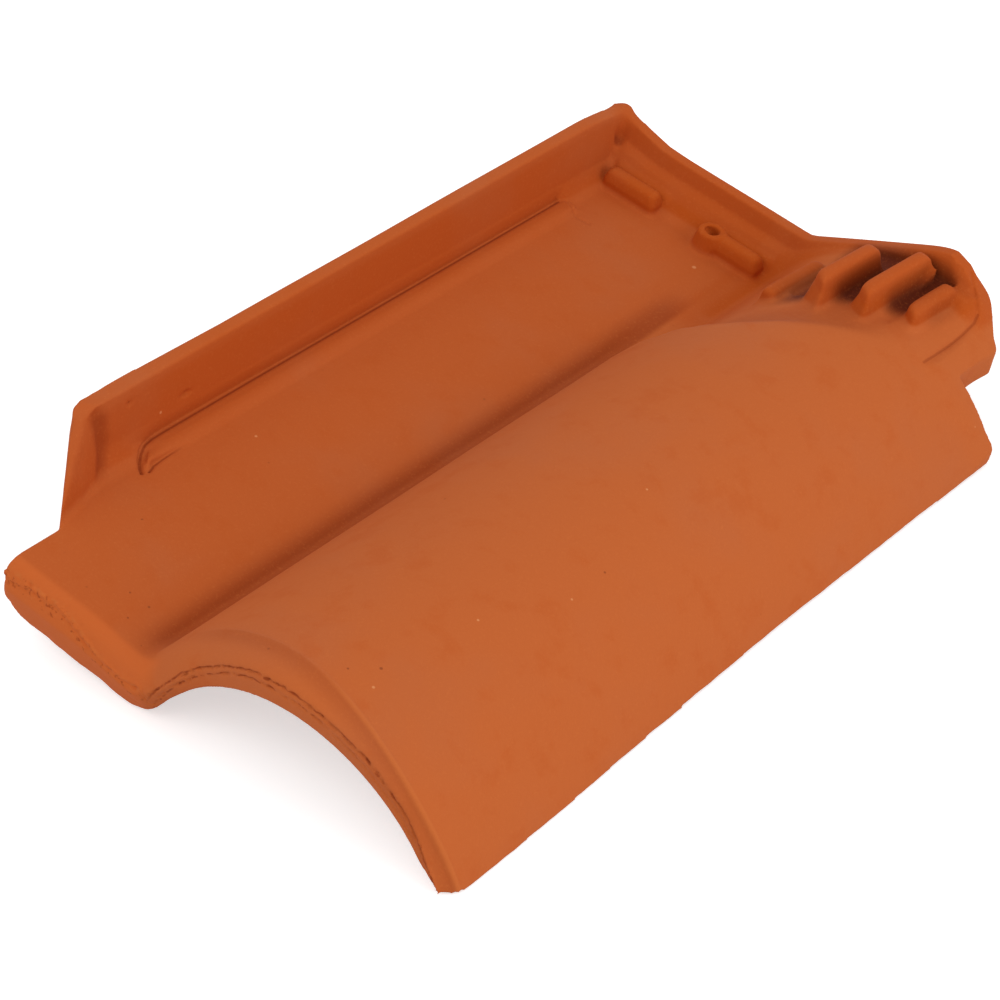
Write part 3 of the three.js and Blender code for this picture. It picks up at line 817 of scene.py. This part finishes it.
def groove_shade(clay, colour):
    """Painted shade: dark lines in the grooves beside the rib and the notch."""
    low = clay.height.between(9, 7)
    rib = clay.line(RIB_GROOVE, 0.85) * low
    rib = rib.larger(clay.line(RIB_TAIL_GROOVE, 0.7) * low * clay.along.between(101, 88))
    notch = clay.line(NOTCH_GROOVE[1:], 0.9) * clay.height.between(20, 24)
    # painted shade along the rib's and the notch's grooves
    colour = clay.mixed(colour, SHADE_AND_PIT_CLAY, rib * 0.7)
    return clay.mixed(colour, SHADE_AND_PIT_CLAY, notch * 0.45)


def nose_rim_highlight_and_shade(clay, colour):
    """Painted highlight on top of the rim behind the nose, and painted shade in the hollow before it."""
    rim = clay.along + clay.across.between(140, 232) * RIM_DRAWS_IN - RIM_AT_VALLEY
    before_rim = rim.between(-9, -1.2) * rim.between(1, -0.6) * clay.across.between(102, 125)
    on_rim = abs(rim - 0.2).between(1.6, 0.3) * clay.across.between(160, 185)
    # painted shade in the hollow before the rim
    colour = clay.mixed(colour, SHADE_AND_PIT_CLAY, before_rim * clay.over_roll.between(78, 80) * 0.25)
    # painted highlight on the rim
    return clay.mixed(colour, PALE_GRAIN_AND_HIGHLIGHT, on_rim * clay.over_roll.between(80, 83) * 0.55)


def torn_nose(clay, colour):
    """Two torn cracks round the arch and a pitted band over the pan: colour and band. The cracks are
    painted dark as painted shade, the lip over the pan pale as a painted highlight, and the nose's front
    lighter as painted light.
    """
    across, height = clay.across, clay.height
    ragged = clay.clouds(clay.place, 3.1, 2.0)
    nose = clay.along.between(9, 6)
    parting = across.between(96, 150) * PARTING_RISE + PARTING_AT_VALLEY
    rise_arch = clay.over_roll - parting + clay.wander * 2.4
    upper = abs(rise_arch - 0.3).between(0.6, 0.15) * ragged.between(0.38, 0.52)
    lower = abs(rise_arch + SECOND_TEAR).between(0.55, 0.15) * ragged.between(0.44, 0.58)
    cracks = upper.larger(lower * across.between(215, 165)) * nose * across.between(99, 106)
    torn = across.between(55, 86) * 7.6 + 3.6 + height - clay.wander * 2
    over_pan = nose * across.between(104, 98)
    band = over_pan * torn.between(-7, -4) * torn.between(1.2, -1)
    lip = abs(torn - 0.2).between(1.1, 0.2) * ragged.between(0.44, 0.6) * over_pan
    pits = clay.clouds(clay.place, 2.1, 2.0).between(0.57, 0.66) * band
    # the nose's front painted lighter: painted light
    colour = clay.mixed(colour, NOSE_PAINTED_LIGHT, nose * across.between(104, 96) * 0.9)
    # painted shade in the torn cracks
    colour = clay.mixed(colour, SHADE_AND_PIT_CLAY, cracks * 0.75)
    colour = clay.mixed(colour, SHADE_AND_PIT_CLAY, pits * 0.6)
    # painted highlight along the torn lip over the pan
    colour = nose_rim_highlight_and_shade(clay, clay.mixed(colour, PALE_GRAIN_AND_HIGHLIGHT, lip * 0.5))
    colour = clay.mixed(colour, PALE_GRAIN_AND_HIGHLIGHT, band * clay.sand.between(0.5, 0.7) * 0.4)
    return colour, band


def fired_clay():
    """Matt orange clay: cloudy tone, sandy grain, pits and grog, a rough torn nose, painted shade in the
    recesses, folds, valley and grooves, a painted sheen on the roll and painted highlights on the nose.
    """
    material = bpy.data.materials.new("fired_clay")
    clay = TileClay(material)
    colour = groove_shade(clay, hollows(clay, folds(clay, tones(clay))))
    colour, band = torn_nose(clay, colour)
    pit = clay.from_specks(clay.place, 19).between(0.8, 0.3)
    pit = pit * clay.clouds(clay.place, 40).between(0.45, 0.6)
    dark = clay.strewn(DARK_MARKS)
    colour = clay.mixed(colour, BURNT_CLAY, (pit * 0.4).larger(dark * 0.6))
    colour = clay.mixed(colour, GROG, clay.strewn(PALE_MARKS) * 0.6)
    colour = clay.mixed(colour, PALE_GRAIN_AND_HIGHLIGHT, clay.sand.between(0.5, 0.8) * 0.35)
    relief = (clay.sand + clay.wander) * 0.1
    sockets = {
        "Base Color": colour,
        "Roughness": 0.88 - clay.tone.between(0.4, 0.7) * 0.1 + band * 0.05,
        "Specular IOR Level": 0.2,
        "Normal": clay.add("Bump", {}, {"Height": relief, "Strength": 0.8, "Distance": MM}, "Normal"),
    }
    shader = clay.add("BsdfPrincipled", {}, sockets)
    clay.add("OutputMaterial", {}, {"Surface": shader})
    return material


# ---- floor, light and camera
def seen_directly(finish):
    """1 for what the camera sees, also by reflection or through glass."""
    path = finish.add("LightPath", {}, {}, "Is Camera Ray")
    return path.larger(path.other("Is Glossy Ray")).larger(path.other("Is Transmission Ray"))


def white_paper():
    """Matt paper that shows the tile's shadow and is white where it is seen."""
    material = bpy.data.materials.new("white_paper")
    paper = Finish(material)
    matt = paper.add("BsdfDiffuse", {}, {"Color": (0.8, 0.8, 0.8, 1)})
    glow = paper.add("Emission", {}, {"Strength": FLOOR_GLOW})
    bright = paper.add("AddShader", {}, {0: matt, 1: glow})
    shader = paper.add("MixShader", {}, {0: seen_directly(paper), 1: matt, 2: bright})
    paper.add("OutputMaterial", {}, {"Surface": shader})
    return material


def floor():
    """A plain sheet of white paper under the tile."""
    sheet = bmesh.new()
    bmesh.ops.create_grid(sheet, x_segments=1, y_segments=1, size=FLOOR_REACH)
    mesh = bpy.data.meshes.new("floor")
    sheet.to_mesh(mesh)
    sheet.free()
    piece = bpy.data.objects.new("floor", mesh)
    bpy.context.scene.collection.objects.link(piece)
    mesh.materials.append(white_paper())


def studio_room(level):
    """A white room: white where it is seen, and lighting the tile at a plain level."""
    world = bpy.data.worlds.new("studio")
    bpy.context.scene.world = world
    room = Finish(world)
    lighting = room.add("Background", {}, {"Color": (1, 1, 1, 1), "Strength": level})
    backdrop = room.add("Background", {}, {"Color": (1, 1, 1, 1), "Strength": 1.0})
    shader = room.add("MixShader", {}, {0: seen_directly(room), 1: lighting, 2: backdrop})
    room.add("OutputWorld", {}, {"Surface": shader})


def softbox(name, azimuth, elevation, power):
    """A round soft light aimed at the tile."""
    light = bpy.data.lights.new(name, "AREA")
    light.shape = "DISK"
    light.size = SOFTBOX_SIZE
    light.energy = power
    box = bpy.data.objects.new(name, light)
    turn, rise = math.radians(azimuth), math.radians(elevation)
    place = Vector((math.cos(rise) * math.cos(turn), math.cos(rise) * math.sin(turn), math.sin(rise)))
    box.location = place * SOFTBOX_DISTANCE
    box.rotation_euler = (-place).to_track_quat("-Z", "Y").to_euler()
    bpy.context.scene.collection.objects.link(box)


def camera():
    """A long lens that looks down on the tile from its tail and its free edge."""
    view = bpy.data.cameras.new("camera")
    view.lens = LENS
    view.sensor_width = SENSOR
    piece = bpy.data.objects.new("camera", view)
    aim = Matrix.Translation(Vector(CAMERA_AIM) * MM)
    turn = Matrix.Rotation(math.radians(CAMERA_AZIMUTH), 4, "Z")
    tilt = Matrix.Rotation(math.radians(90 - CAMERA_ELEVATION), 4, "X")
    roll = Matrix.Rotation(math.radians(CAMERA_ROLL), 4, "Z")
    back = Matrix.Translation((0, 0, CAMERA_BACK * MM))
    piece.matrix_world = aim @ turn @ tilt @ roll @ back
    bpy.context.scene.collection.objects.link(piece)
    bpy.context.scene.camera = piece


tile = fired_skin()
tile.data.materials.clear()
tile.data.materials.append(fired_clay())
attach(tile, "root")
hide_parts("roof_tile")

floor()
studio_room(ROOM_LEVEL)
for name, (azimuth, elevation, power) in SOFTBOXES.items():
    softbox(name, azimuth, elevation, power)
camera()
bpy.context.scene.view_settings.view_transform = "Standard"
